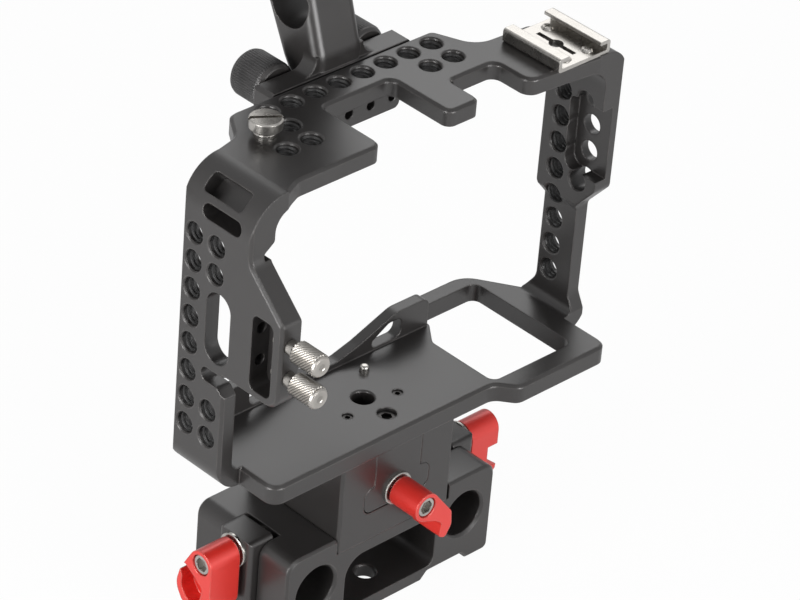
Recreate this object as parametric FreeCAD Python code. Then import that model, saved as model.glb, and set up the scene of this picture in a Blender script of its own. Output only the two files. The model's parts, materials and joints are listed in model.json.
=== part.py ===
import FreeCAD, Part
import math
import os

# Camera cage on a quick-release riser and a two-rod clamp base, with a top handle.
# Millimetres. X runs to the operator's right, Y forward along the lens, Z up.
# The origin lies on the surface that the base stands on, under the lens axis.

# Tapped accessory holes, quarter inch by twenty
hole_pitch = 9.1
tapped_radius = 3.2
hole_chamfer = 0.45

# Rods and the clamp base
rod_radius = 7.5
rod_fit = 0.05
rod_spacing = 60.0
rod_height = 17.8
base_width = 84.0
base_depth = 40.0
base_height = 32.0
base_top_round = 4.5
base_bottom_round = 2.5
base_edge_chamfer = 0.8
foot_recess = 2.5
foot_width = 9.0
pad_half = 14.0
arch_half = 18.5
arch_floor = 4.6
arch_roof = 22.9
arch_round = 7.0
tripod_offset = 10.0
tripod_small_radius = 3.2
tripod_large_radius = 4.8

# Riser block and its T channel
riser_width = 45.0
riser_seat = 5.1
riser_height = 31.1
riser_gap = 0.3
riser_chamfer = 0.8
riser_screw_x = 12.5
riser_screw_y = 12.0
riser_screw_radius = 2.0
riser_screw_head = 3.5
riser_screw_head_height = 2.6
riser_screw_grip = 9.0

# Release rail in the channel
neck_half = 9.1
head_half = 12.9
head_low = 36.9
head_tall = 8.4
head_round = 3.0
rail_gap = 0.15
rail_floor_gap = 0.5

# Jaws and levers
jaw_depth = 13.6
jaw_thickness = 8.9
jaw_proud = 3.4
jaw_low = 7.0
jaw_rise = 1.2
jaw_gap = 0.3
jaw_round = 1.6
notch_wall = 33.9
lever_height = 28.2
lever_y = -0.5
centre_lever_height = 41.2
hub_radius = 4.6
hub_length = 12.0
washer_radius = 5.3
washer_thickness = 1.0
lever_round = 0.6
lever_lift = 0.8
scoop_depth = 6.5
lever_screw_radius = 2.5
lever_screw_fit = 0.1
lever_screw_head = 3.3
lever_screw_head_height = 3.6
lever_screw_sink = 0.4
lever_screw_reach = 9.0

# Cage ring
cage_left = -60.0
cage_right = 86.0
cage_top = 158.4
floor_thickness = 6.0
roof_thickness = 5.5
left_wall = 5.0
right_wall = 5.6
corner_wall = 8.8
block_wall = 7.5
bend_top_left = 12.5
bend_top_right = 8.0
bend_bottom = 8.0
inner_round = 2.7
edge_chamfer = 0.9
first_row = 20.1

# Left wall and its arm
left_front = 13.0
left_rear = -15.0
lower_rear = -7.3
arm_rear = -29.2
arm_low = 97.8
arm_shoulder = 126.3
arm_thickness = 7.2
gap_low = 93.2
gap_front = 2.2
left_column_y = 7.9
strap_slot_front = 5.1
strap_slot_rear = -10.6
strap_slot_low = 145.4
strap_slot_high = 150.1
side_slot_front = 1.5
side_slot_rear = -8.5
side_slot_low = 100.9
side_slot_high = 124.1
cable_pocket_front = -17.3
cable_pocket_rear = -25.9
cable_pocket_low = 100.5
cable_pocket_high = 125.1

# Right wall
right_front = 8.2
right_rear = -15.0
leg_front = 6.0
leg_rear = -7.3
leg_top = 101.5
shoulder_top = 110.5
right_column_y = 1.5
side_pocket_front = -1.8
side_pocket_low = 113.8
side_pocket_high = 138.3
side_pocket_depth = 4.2

# Plates
plate_front = 25.5
plate_rear = -21.8
rim_rear = -27.9
rim_right = 77.9
fence_rear = 12.7
fence_front = 16.4
fence_half = 41.4
fence_top = 74.0
lip_top = 65.8
camera_hole_y = -3.3
camera_hole_radius = 3.4
rail_screw_y = -13.5
set_screw_x = 10.0
set_screw_y = -7.5
top_first_x = -23.4
top_first_y = 20.0
skirt_rear = 21.4
skirt_low = 140.1
skirt_half = 22.3
skirt_hole_pitch = 8.55
skirt_hole_radius = 1.6

# Cold shoe
shoe_x = 68.0
shoe_y = -3.2
shoe_width = 21.0
shoe_length = 23.0
shoe_sheet = 1.2
shoe_inner_height = 2.1
shoe_opening = 12.8
shoe_screw_x = 4.4
shoe_screw_y = 8.0
shoe_screw_radius = 1.0
shoe_screw_head = 1.9
shoe_screw_head_height = 0.7

# Handle
handle_x = 10.3
foot_half = 27.3
foot_depth = 8.2
foot_low = 141.4
post_half = 8.9
post_flare = 5.0
bore_y = 39.8
bore_z = 175.5
grip_low = 206.0
grip_high = 224.0
grip_rear = -30.0
grip_front = 50.0
grip_round = 7.0
knob_offset = 17.7
knob_drop = 4.6
knob_radius = 7.05
knob_length = 12.6
stud_radius = 2.5

# Screws of the cage
cable_screw_x = -56.4
cable_screw_z = 119.0
cable_screw_step = 10.5
cable_head_radius = 3.5
cable_head_length = 9.8
cable_neck_radius = 2.3
cable_neck_length = 3.0
cable_shank_radius = 1.75
cable_tip = 2.5
accessory_head_radius = 4.9
accessory_head_height = 3.5
accessory_lift = 2.4
accessory_slot = 1.3
pin_x = 9.6
pin_y = 6.4
pin_radius = 1.4
pin_height = 2.2
running_gap = 0.06

# Captive camera screw, quarter inch by twenty
camera_head_radius = 5.5
camera_head_low = 37.6
camera_head_height = 3.0
camera_travel = 12.0
camera_shank_radius = 3.1
camera_drop = 1.0

# Places that follow from the sizes above
riser_low = base_height - riser_seat
cage_bottom = riser_low + riser_height
floor_top = cage_bottom + floor_thickness
roof_low = cage_top - roof_thickness
half_depth = base_depth / 2.0
half_width = base_width / 2.0
rod_x = rod_spacing / 2.0
bore_radius = rod_radius + rod_fit
jaw_outer = half_width + jaw_proud
jaw_inner = jaw_outer - jaw_thickness
jaw_front = lever_y + jaw_depth / 2.0
jaw_rear = lever_y - jaw_depth / 2.0
jaw_top = base_height + jaw_rise
knob_z = cage_top - knob_drop
foot_rear = plate_front
foot_front = foot_rear + foot_depth


def at(plane, u, v, w):
    if plane == "xy":
        return FreeCAD.Vector(u, v, w)
    if plane == "xz":
        return FreeCAD.Vector(u, w, v)
    return FreeCAD.Vector(w, u, v)


def corner(before, here, after, radius):
    """Start, middle and end of the arc that rounds one corner of an outline."""
    ax, ay = before[0] - here[0], before[1] - here[1]
    bx, by = after[0] - here[0], after[1] - here[1]
    al, bl = math.hypot(ax, ay), math.hypot(bx, by)
    ax, ay, bx, by = ax / al, ay / al, bx / bl, by / bl
    half = math.acos(max(-1.0, min(1.0, ax * bx + ay * by))) / 2.0
    run = radius / math.tan(half)
    mx, my = ax + bx, ay + by
    ml = math.hypot(mx, my)
    reach = radius / math.sin(half) - radius
    start = (here[0] + ax * run, here[1] + ay * run)
    middle = (here[0] + mx / ml * reach, here[1] + my / ml * reach)
    end = (here[0] + bx * run, here[1] + by * run)
    return start, middle, end


def outline(plane, points, level):
    """A closed wire through (u, v, radius) points, with each corner rounded by its radius.

    A point with no radius (None) is the middle of an arc between its two neighbours."""
    count = len(points)
    stops = []
    for i, (u, v, radius) in enumerate(points):
        if radius is None:
            stops.append((points[i - 1][:2], (u, v), points[(i + 1) % count][:2]))
        elif radius > 0:
            stops.append(corner(points[i - 1], (u, v), points[(i + 1) % count], radius))
        else:
            stops.append(((u, v), None, (u, v)))
    edges = []
    for i, (start, middle, end) in enumerate(stops):
        if middle:
            three = [at(plane, p[0], p[1], level) for p in (start, middle, end)]
            edges.append(Part.Arc(*three).toShape())
        following = stops[(i + 1) % count][0]
        if math.hypot(following[0] - end[0], following[1] - end[1]) > 1e-6:
            a = at(plane, end[0], end[1], level)
            b = at(plane, following[0], following[1], level)
            edges.append(Part.LineSegment(a, b).toShape())
    return Part.Wire(Part.__sortEdges__(edges))


def slab(plane, points, low, high):
    """An outline drawn in one plane and extruded across it from low to high."""
    face = Part.Face(outline(plane, points, low))
    return face.extrude(at(plane, 0, 0, high - low))


def block(x0, x1, y0, y1, z0, z1):
    return Part.makeBox(x1 - x0, y1 - y0, z1 - z0, FreeCAD.Vector(x0, y0, z0))


def rod(plane, u, v, radius, low, high):
    """A cylinder that stands across the plane."""
    return Part.makeCylinder(radius, high - low, at(plane, u, v, low), at(plane, 0, 0, 1))


def cone(plane, u, v, radius_low, radius_high, low, high):
    return Part.makeCone(radius_low, radius_high, high - low, at(plane, u, v, low), at(plane, 0, 0, 1))


def tapped(plane, u, v, low, high, radius=tapped_radius):
    """A hole from low to high with a small countersink at both faces."""
    wide = radius + hole_chamfer
    return [
        rod(plane, u, v, radius, low - 1, high + 1),
        cone(plane, u, v, wide, radius, low, low + hole_chamfer),
        cone(plane, u, v, radius, wide, high - hole_chamfer, high),
    ]


def box_outline(u0, u1, v0, v1, radius):
    return [(u0, v0, radius), (u1, v0, radius), (u1, v1, radius), (u0, v1, radius)]


def edges_where(shape, test):
    return [e for e in shape.Edges if test(e)]


def flat_edges(shape, axis, level):
    """Edges that lie wholly at one level of an axis."""
    def lies(edge):
        b = edge.BoundBox
        low = (b.XMin, b.YMin, b.ZMin)[axis]
        high = (b.XMax, b.YMax, b.ZMax)[axis]
        return abs(low - level) < 1e-4 and abs(high - level) < 1e-4
    return edges_where(shape, lies)


def base_block():
    """Rod clamp base: outline across the rods, bores, arch, jaw notches and the riser's seat."""
    w, h = half_width, base_height
    profile = [
        (-pad_half, 0, 1.0), (pad_half, 0, 1.0),
        (pad_half + foot_recess, foot_recess, 1.0), (w - foot_width - foot_recess, foot_recess, 1.0),
        (w - foot_width, 0, 1.0), (w, 0, base_bottom_round),
        (w, h, base_top_round), (-w, h, base_top_round),
        (-w, 0, base_bottom_round), (-w + foot_width, 0, 1.0),
        (-w + foot_width + foot_recess, foot_recess, 1.0), (-pad_half - foot_recess, foot_recess, 1.0),
    ]
    body = slab("xz", profile, -half_depth, half_depth)
    ends = flat_edges(body, 1, -half_depth) + flat_edges(body, 1, half_depth)
    body = body.makeChamfer(base_edge_chamfer, ends)
    seat = riser_width / 2.0 + riser_gap
    arch = [
        (-arch_half, arch_floor, 3.0), (arch_half, arch_floor, 3.0),
        (arch_half, arch_roof, arch_round), (-arch_half, arch_roof, arch_round),
    ]
    cuts = [
        block(-seat, seat, -half_depth - 1, half_depth + 1, riser_low, h + 1),
        slab("xz", arch, -half_depth - 1, half_depth + 1),
    ]
    for side in (-1, 1):
        cuts.append(rod("xz", side * rod_x, rod_height, bore_radius, -half_depth - 1, half_depth + 1))
        for end in (-1, 1):
            deep, shallow = half_depth - base_edge_chamfer, half_depth
            wide = bore_radius + base_edge_chamfer
            if end > 0:
                cuts.append(cone("xz", side * rod_x, rod_height, bore_radius, wide, deep, shallow))
            else:
                cuts.append(cone("xz", side * rod_x, rod_height, wide, bore_radius, -shallow, -deep))
        inner, outer = side * notch_wall, side * (w + 1)
        notch = block(min(inner, outer), max(inner, outer), jaw_rear - jaw_gap, jaw_front + jaw_gap,
                      jaw_low - jaw_gap, h + 1)
        cuts.append(notch)
        reach = side * (notch_wall - lever_screw_reach)
        cuts.append(rod("yz", lever_y, lever_height, lever_screw_radius + running_gap,
                        min(reach, inner), max(reach, inner)))
    for sx in (-1, 1):
        for sy in (-1, 1):
            cuts.append(rod("xy", sx * riser_screw_x, sy * riser_screw_y, riser_screw_radius + lever_screw_fit,
                            arch_roof - 1, riser_low + 1))
            cuts.append(rod("xy", sx * riser_screw_x, sy * riser_screw_y, riser_screw_head + riser_gap,
                            arch_roof - 6, arch_roof))
    cuts += tapped("xy", 0, -tripod_offset, 0, arch_floor, tripod_small_radius)
    cuts += tapped("xy", 0, tripod_offset, 0, arch_floor, tripod_large_radius)
    return body.cut(cuts)


def tee(neck, head, low, high, top, radius):
    """Outline of the T section, seen along the channel."""
    return [
        (-head, low, radius), (head, low, radius), (head, high, radius),
        (neck, high, 0.6), (neck, top, 0), (-neck, top, 0),
        (-neck, high, 0.6), (-head, high, radius),
    ]


def riser_block():
    half = riser_width / 2.0
    body = block(-half, half, -half_depth, half_depth, riser_low, cage_bottom)
    edges = edges_where(body, lambda e: abs(e.BoundBox.ZLength) > 1 or e.BoundBox.ZMin > cage_bottom - 0.01)
    body = body.makeChamfer(riser_chamfer, edges)
    channel = tee(neck_half + rail_gap, head_half + rail_gap, head_low - rail_floor_gap,
                  head_low + head_tall + rail_gap, cage_bottom + 1, head_round)
    cuts = [slab("xz", channel, -half_depth - 1, half_depth + 1)]
    for sx in (-1, 1):
        for sy in (-1, 1):
            cuts.append(rod("xy", sx * riser_screw_x, sy * riser_screw_y, riser_screw_radius + running_gap,
                            riser_low - 1, arch_roof + riser_screw_grip + 0.5))
    return body.cut(cuts)


def riser_screws():
    """Four cap screws, heads down against the ceiling of the arch."""
    screws = []
    for sx in (-1, 1):
        for sy in (-1, 1):
            x, y = sx * riser_screw_x, sy * riser_screw_y
            head = rod("xy", x, y, riser_screw_head, arch_roof - riser_screw_head_height, arch_roof)
            shank = rod("xy", x, y, riser_screw_radius, arch_roof, arch_roof + riser_screw_grip)
            socket = hexagon("xy", x, y, 1.6, arch_roof - riser_screw_head_height - 0.1,
                             arch_roof - riser_screw_head_height + 1.3)
            screws.append(head.fuse(shank).removeSplitter().cut(socket))
    return Part.makeCompound(screws)


def hexagon(plane, u, v, across, low, high):
    """A six-sided socket, given half its width across the flats."""
    tip = across / math.cos(math.pi / 6)
    points = [(u + tip * math.cos(k * math.pi / 3), v + tip * math.sin(k * math.pi / 3), 0) for k in range(6)]
    return slab(plane, points, low, high)


def release_rail():
    """T rail below the bottom plate, with the captive screw's counterbore and the locking screw's thread."""
    section = tee(neck_half, head_half, head_low, head_low + head_tall, cage_bottom, head_round - rail_gap)
    body = slab("xz", section, -half_depth, half_depth)
    cuts = [
        rod("xy", 0, camera_hole_y, camera_hole_radius, head_low - 1, cage_bottom + 1),
        rod("xy", 0, camera_hole_y, camera_head_radius + 0.3, head_low - 1,
            camera_head_low + camera_head_height + camera_travel + 0.4),
        rod("xz", 0, centre_lever_height, lever_screw_radius + running_gap, -half_depth - 1,
            -half_depth + lever_screw_reach + 0.5),
        rod("xy", 0, rail_screw_y, 2.0 + running_gap, cage_bottom - 7.5, cage_bottom + 1),
    ]
    return body.cut(cuts)


def camera_screw():
    """Quarter inch camera screw, drawn down below the plate's surface, with a coin slot in its head."""
    head = rod("xy", 0, camera_hole_y, camera_head_radius, camera_head_low, camera_head_low + camera_head_height)
    shank = rod("xy", 0, camera_hole_y, camera_shank_radius, camera_head_low + camera_head_height, cage_bottom - camera_drop)
    slot = block(-7, 7, camera_hole_y - 0.7, camera_hole_y + 0.7, camera_head_low - 1, camera_head_low + 1.3)
    body = head.fuse(shank).removeSplitter()
    tip = flat_edges(body, 2, cage_bottom - camera_drop)
    return body.makeChamfer(0.5, tip).cut(slot)


def rail_screw():
    head = rod("xy", 0, rail_screw_y, 2.9, floor_top - 3.4, floor_top - 1.0)
    shank = rod("xy", 0, rail_screw_y, 2.0, cage_bottom - 7.0, floor_top - 3.4)
    socket = hexagon("xy", 0, rail_screw_y, 1.5, floor_top - 2.4, floor_top)
    return head.fuse(shank).removeSplitter().cut(socket)


def plate_set_screws():
    screws = []
    for side in (-1, 1):
        x = side * set_screw_x
        body = rod("xy", x, set_screw_y, 1.6, cage_bottom + 0.2, floor_top - 0.5)
        socket = hexagon("xy", x, set_screw_y, 0.75, floor_top - 2.2, floor_top)
        screws.append(body.cut(socket))
    return Part.makeCompound(screws)


def jaw(side):
    """Clamp jaw: a rounded block hollowed to the rod, with a clearance hole for its lever's screw."""
    low, high = sorted((side * jaw_inner, side * jaw_outer))
    body = block(low, high, jaw_rear, jaw_front, jaw_low, jaw_top)
    rounded = edges_where(body, lambda e: e.BoundBox.XLength > 1 and e.BoundBox.ZMin > jaw_top - 0.01
                          or e.BoundBox.YLength < 0.01 and e.BoundBox.ZLength > 1
                          and abs(e.BoundBox.XMin - side * jaw_outer) < 0.01)
    body = body.makeFillet(jaw_round, rounded)
    cuts = [
        rod("xz", side * rod_x, rod_height, bore_radius, jaw_rear - 1, jaw_front + 1),
        rod("yz", lever_y, lever_height, lever_screw_radius + lever_screw_fit, low - 1, high + 1),
    ]
    return body.cut(cuts)


def touch(point, radius, turn):
    """Where a straight line from the point just touches a circle about the origin."""
    far = math.hypot(point[0], point[1])
    angle = math.atan2(point[1], point[0]) + turn * math.acos(radius / far)
    return radius * math.cos(angle), radius * math.sin(angle)


def lever_profile(mirror):
    """Outline of the lever seen from its outer end: round hub, and a tail whose flanks touch the hub."""
    back, throat = (mirror * 10.6, -6.0), (mirror * 2.6, -8.6)
    first, last = touch(back, hub_radius, mirror), touch(throat, hub_radius, -mirror)
    away = math.hypot(first[0] + last[0], first[1] + last[1])
    crown = (-(first[0] + last[0]) / away * hub_radius, -(first[1] + last[1]) / away * hub_radius)
    if crown[1] < 0:
        crown = (-crown[0], -crown[1])
    return [
        first + (0,), back + (3.5,), (mirror * 10.0, -14.0, 2.6),
        (mirror * 6.4, -14.6, 1.2), throat + (6.0,), last + (0,), crown + (None,),
    ]


def scoop_profile(mirror):
    return [
        (mirror * 3.2, -5.2, 1.0), (mirror * 6.6, -6.6, 1.6), (mirror * 7.4, -12.6, 0.6),
        (mirror * 5.9, -12.6, 0.4), (mirror * 3.6, -8.4, 1.2), (mirror * 1.0, -5.6, 0.6),
    ]


def lever_body(mirror):
    """Lever with its axis along +Z of its own frame, standing on the washer at Z = 0."""
    body = slab("xy", lever_profile(mirror), lever_lift, hub_length)
    body = body.makeFillet(lever_round, flat_edges(body, 2, hub_length))
    body = body.fuse(rod("xy", 0, 0, hub_radius - 0.3, 0, lever_lift + 1))
    cuts = [
        slab("xy", scoop_profile(mirror), hub_length - scoop_depth, hub_length + 1),
        rod("xy", 0, 0, lever_screw_radius + lever_screw_fit, -1, hub_length + 1),
        rod("xy", 0, 0, lever_screw_head + lever_screw_fit, hub_length - lever_screw_head_height - lever_screw_sink,
            hub_length + 1),
    ]
    return body.cut(cuts)


def lever_washer():
    ring = rod("xy", 0, 0, washer_radius, -washer_thickness, 0)
    ring = ring.makeChamfer(0.25, flat_edges(ring, 2, 0))
    return ring.cut(rod("xy", 0, 0, lever_screw_radius + lever_screw_fit, -washer_thickness - 1, 1))


def lever_screw(reach):
    """Socket cap screw that clamps through the lever; reach is its length below the washer."""
    top = hub_length - lever_screw_sink
    under = top - lever_screw_head_height
    head = rod("xy", 0, 0, lever_screw_head, under, top)
    shank = rod("xy", 0, 0, lever_screw_radius, -washer_thickness - reach, under)
    body = head.fuse(shank).removeSplitter()
    body = body.makeChamfer(0.35, flat_edges(body, 2, top))
    return body.cut(hexagon("xy", 0, 0, 2.0, top - 2.2, top + 1))


def facing(shape, place, direction, up):
    """Turns a shape from its own frame so that its +Z runs along direction and its +Y along up."""
    z = FreeCAD.Vector(*direction)
    y = FreeCAD.Vector(*up)
    x = y.cross(z)
    turn = FreeCAD.Matrix(x.x, y.x, z.x, place[0], x.y, y.y, z.y, place[1], x.z, y.z, z.z, place[2], 0, 0, 0, 1)
    moved = shape.copy()
    moved.Placement = FreeCAD.Placement(turn)
    return moved


def spin(shape, degrees):
    turned = shape.copy()
    turned.rotate(FreeCAD.Vector(0, 0, 0), FreeCAD.Vector(0, 0, 1), degrees)
    return turned


def lever_set(shapes, side):
    """Places lever, washer and screw on the left (-1), right (1) or rear centre (0) of the base."""
    placed = []
    for shape in shapes:
        if side:
            place = (side * (jaw_outer + washer_thickness), lever_y, lever_height)
            placed.append(facing(spin(shape, side * lever_turn), place, (side, 0, 0), (0, 0, 1)))
        else:
            place = (0, -half_depth - washer_thickness, centre_lever_height)
            placed.append(facing(shape, place, (0, -1, 0), (0, 0, 1)))
    return placed


# How far the side levers hang from the straight-down position
lever_turn = 14.0


def ring_section():
    """The cage seen along the lens: outer outline less inner outline, as one extruded ring."""
    outer = [
        (cage_left, cage_bottom, bend_bottom), (cage_right, cage_bottom, bend_bottom),
        (cage_right, cage_top, bend_top_right), (cage_left, cage_top, bend_top_left),
    ]
    leg = cage_right - right_wall
    thick = cage_right - block_wall
    inner_left = cage_left + left_wall
    corner_left = cage_left + corner_wall
    inner = [
        (inner_left, floor_top, inner_round), (leg, floor_top, inner_round),
        (leg, leg_top - 1.5, 0.5), (thick, leg_top + 1.5, 0.5),
        (thick, roof_low, 6.5), (corner_left, roof_low, 6.5),
        (corner_left, roof_low - 9.1, 1.5), (inner_left, roof_low - 12.0, 1.5),
    ]
    front, rear = plate_front + 2, rim_rear - 4
    solid = slab("xz", outer, rear, front)
    return solid.cut(slab("xz", inner, rear - 1, front + 1))


split_left = -47.0
split_right = 75.0
split_high = 138.0
split_low = 72.0


def left_side():
    """Side view of the left wall with the arm that carries the cable clamp."""
    side = [
        (left_front, cage_bottom, 4.5), (lower_rear, cage_bottom, 0), (lower_rear, arm_low, 0),
        (arm_rear, arm_low, 5.5), (arm_rear, arm_shoulder, 1.8), (left_rear, 139.3, 5.0),
        (left_rear, cage_top, 0), (left_front, cage_top, 0),
    ]
    prism = slab("yz", side, cage_left, split_left)
    outer_edges = edges_where(prism, lambda e: e.BoundBox.XMax < cage_left + 0.01)
    return prism.makeChamfer(edge_chamfer, outer_edges)


def top_plan():
    """Top view of the top plate with its two cut-outs and the tab between them."""
    front, step = plate_front, hole_pitch
    plan = [
        (split_left, 14.0, 0), (-39.5, 15.8, 5.0), (-33.0, front, 4.0), (45.4, front, 3.0),
        (51.0, 12.2, 7.5), (70.0, 11.2, 4.0), (split_right, right_front, 0),
        (split_right, right_rear, 0), (60.0, -13.4, 8.0), (48.0, -12.6, 4.0),
        (48.0, 1.8, 3.2), (29.9, 1.8, 2.2), (29.9, -11.1, 2.6), (17.4, -11.1, 2.8),
        (17.4, fence_rear, 3.0), (-9.3, fence_rear, 2.0), (-9.3, -12.3, 3.5),
        (-41.0, -12.3, 5.0), (split_left, left_rear, 0),
    ]
    prism = slab("xy", plan, split_high, cage_top)
    ends = (split_left, split_right)

    def on_outline(edge):
        b = edge.BoundBox
        at_end = b.XLength < 1e-6 and min(abs(b.XMin - x) for x in ends) < 1e-6
        return b.ZMin > cage_top - 0.01 and not at_end

    return prism.makeChamfer(edge_chamfer, edges_where(prism, on_outline))


def right_side():
    """Side view of the right wall: wide block above, narrow leg below, flared feet."""
    side = [
        (right_front, cage_top, 0), (right_front, leg_top + 2.5, 1.5), (leg_front, leg_top - 1, 1.5),
        (leg_front, 70.0, 6.0), (10.0, 64.5, 0), (10.0, cage_bottom, 0), (-10.0, cage_bottom, 0),
        (-10.0, floor_top + 0.5, 0), (leg_rear, 69.5, 5.0), (leg_rear, leg_top, 3.0),
        (right_rear, shoulder_top, 3.0), (right_rear, cage_top, 0),
    ]
    prism = slab("yz", side, split_right, cage_right)
    outer_edges = edges_where(prism, lambda e: e.BoundBox.XMin > cage_right - 0.01)
    return prism.makeChamfer(edge_chamfer, outer_edges)


def bottom_plan():
    """Top view of the bottom plate, wider to the rear round the battery opening."""
    plan = [
        (cage_left, left_front - 1, 0), (cage_left, lower_rear + 1, 0), (-51.6, lower_rear + 1, 0),
        (-51.6, plate_rear, 4.0), (35.5, plate_rear, 5.0), (40.5, rim_rear, 4.0),
        (rim_right, rim_rear, 4.0), (rim_right, leg_rear - 1, 0), (cage_right, leg_rear - 1, 0),
        (cage_right, 8.5, 0), (80.0, 8.5, 2.0), (68.5, plate_front, 9.0), (45.0, plate_front, 3.0),
        (41.4, fence_front, 2.0), (-42.0, fence_front, 4.0), (-48.0, left_front - 1, 4.0),
    ]
    prism = slab("xy", plan, cage_bottom, floor_top)
    rear = edges_where(prism, lambda e: e.BoundBox.ZMin > floor_top - 0.01 and e.BoundBox.YMax < lower_rear - 1.5
                       and e.BoundBox.XMax < rim_right + 0.01)
    return prism.makeChamfer(edge_chamfer, rear)


def battery_opening():
    hole = [
        (36.2, -20.9, 3.0), (69.4, -20.9, 3.0), (69.4, 20.6, 3.0), (42.8, 20.6, 2.0),
        (41.9, 12.2, 2.0), (36.2, 5.0, 3.0),
    ]
    return slab("xy", hole, cage_bottom - 1, floor_top + 1)


def fence():
    """Low fence along the front edge, rising to two ears with slanted oval openings."""
    top = [
        (-fence_half, floor_top - 2, 0), (fence_half, floor_top - 2, 0), (fence_half, fence_top, 3.0),
        (28.0, fence_top, 8.0), (13.0, 68.2, 12.0), (4.5, lip_top, 8.0),
        (-4.5, lip_top, 8.0), (-13.0, 68.2, 12.0), (-28.0, fence_top, 8.0), (-fence_half, fence_top, 3.0),
    ]
    body = slab("xz", top, fence_rear, fence_front)
    for side in (-1, 1):
        oval = [
            (side * 18.4, 64.8, 1.6), (side * 30.4, 64.8, 2.6), (side * 30.4, 71.3, 2.2),
            (side * 25.0, 71.3, 3.0), (side * 18.4, 67.4, 1.2),
        ]
        body = body.cut(slab("xz", oval, fence_rear - 1, fence_front + 1))
    return body


def skirt():
    """Strip below the front edge of the top plate, which takes the handle's studs."""
    low, high = handle_x - skirt_half, handle_x + skirt_half
    points = [
        (low, roof_low + 1, 0), (low + 2.5, skirt_low, 2.0), (high - 2.5, skirt_low, 2.0), (high, roof_low + 1, 0),
    ]
    body = slab("xz", points, skirt_rear, plate_front - edge_chamfer)
    for k in range(-2, 3):
        body = body.cut(rod("xz", handle_x + k * skirt_hole_pitch, 144.5, skirt_hole_radius, skirt_rear - 1,
                            plate_front + 1))
    return body


def top_holes():
    cuts = []
    places = [(n, 0) for n in range(8)] + [(0, 1), (6, 1), (7, 1), (0, 2), (-1, 2)]
    for across, back in places:
        cuts += tapped("xy", top_first_x + across * hole_pitch, top_first_y - back * hole_pitch, roof_low, cage_top)
    x, y = accessory_place
    cuts.append(rod("xy", x, y, accessory_shank_radius + running_gap, roof_low - 1, cage_top + 1))
    return cuts


accessory_place = (top_first_x - hole_pitch, top_first_y - hole_pitch)
accessory_shank_radius = 3.1


def left_holes():
    cuts = []
    inner = cage_left + left_wall
    for row in range(8):
        z = cage_top - first_row - row * hole_pitch
        cuts += tapped("yz", left_column_y, z, cage_left, inner)
        if row in (0, 1, 6, 7):
            cuts += tapped("yz", left_column_y - hole_pitch, z, cage_left, inner)
    return cuts


def right_holes():
    cuts = []
    for row in range(8):
        z = cage_top - first_row - row * hole_pitch
        wall = block_wall if z > leg_top else right_wall
        cuts += tapped("yz", right_column_y, z, cage_right - wall, cage_right)
        if row < 4:
            cuts += tapped("yz", right_column_y - hole_pitch, z, cage_right - wall, cage_right)
    return cuts


def left_openings():
    """Strap slot and window in the bend, side slot, cable gap and cable pocket."""
    x0, x1 = cage_left - 1, cage_left + 14
    slot_round = (strap_slot_high - strap_slot_low) / 2.0 - 0.01
    strap = box_outline(strap_slot_rear, strap_slot_front, strap_slot_low, strap_slot_high, slot_round)
    side_round = (side_slot_front - side_slot_rear) / 2.0 - 0.01
    side = box_outline(side_slot_rear, side_slot_front, side_slot_low, side_slot_high, side_round)
    gap = [
        (lower_rear - 2, arm_low + 0.01, 0), (gap_front, arm_low, 2.25), (gap_front, gap_low, 2.25),
        (lower_rear + 2.6, gap_low, 2.4), (lower_rear - 0.2, gap_low - 2.8, 0), (lower_rear - 2, gap_low - 2.8, 0),
    ]
    pocket = box_outline(cable_pocket_rear, cable_pocket_front, cable_pocket_low, cable_pocket_high, 2.4)
    return [
        slab("yz", strap, x0, x1),
        strap_window(),
        slab("yz", side, x0, x1),
        slab("yz", gap, x0, x1),
        slab("yz", pocket, x0, x1),
    ]


def strap_window():
    """Oblong window cut square to the outer bend, which meets the strap slot inside."""
    long, tall, deep = 15.8, 6.4, 8.6
    middle = (strap_slot_front + strap_slot_rear) / 2.0 + 2.0
    window = slab("xy", box_outline(-tall / 2, tall / 2, -long / 2, long / 2, 1.4), -deep, 4)
    reach = bend_top_left * (1 - math.sqrt(0.5))
    place = FreeCAD.Placement(
        FreeCAD.Vector(cage_left + reach, middle, cage_top - reach),
        FreeCAD.Rotation(FreeCAD.Vector(0, 1, 0), -45),
    )
    window.Placement = place
    return window


def cable_holes():
    cuts = []
    for k in range(2):
        z = cable_screw_z - k * cable_screw_step
        cuts.append(rod("xz", cable_screw_x, z, cable_shank_radius + running_gap, arm_rear - 1, cable_pocket_front + 5))
    return cuts


def side_pocket():
    """Recess in the inner face of the right block, open to the rear."""
    inner = cage_right - block_wall
    pocket = [
        (right_rear - 1, side_pocket_low, 0), (side_pocket_front, side_pocket_low, 3.5),
        (side_pocket_front, side_pocket_high, 2.0), (right_rear - 1, side_pocket_high, 0),
    ]
    return slab("yz", pocket, inner - 1, inner + side_pocket_depth)


def floor_holes():
    low, high = cage_bottom, floor_top
    cuts = tapped("xy", 0, camera_hole_y, low, high, camera_hole_radius)
    cuts.append(rod("xy", 0, rail_screw_y, 2.0 + lever_screw_fit, low - 1, high + 1))
    cuts.append(rod("xy", 0, rail_screw_y, 3.0, high - 3.4, high + 1))
    for side in (-1, 1):
        cuts.append(rod("xy", side * set_screw_x, set_screw_y, 1.6 + running_gap, low - 1, high + 1))
    cuts.append(rod("xy", pin_x, pin_y, pin_radius, high - 3.0, high + 1))
    return cuts


def shoe_holes():
    cuts = []
    for sx in (-1, 1):
        for sy in (-1, 1):
            cuts.append(rod("xy", shoe_x + sx * shoe_screw_x, shoe_y + sy * shoe_screw_y,
                            shoe_screw_radius + running_gap, roof_low - 1, cage_top + 1))
    return cuts


def stud_holes():
    cuts = []
    for side in (-1, 1):
        cuts.append(rod("xz", handle_x + side * knob_offset, knob_z, stud_radius + running_gap, skirt_rear - 1,
                        plate_front + 1))
    return cuts


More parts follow.
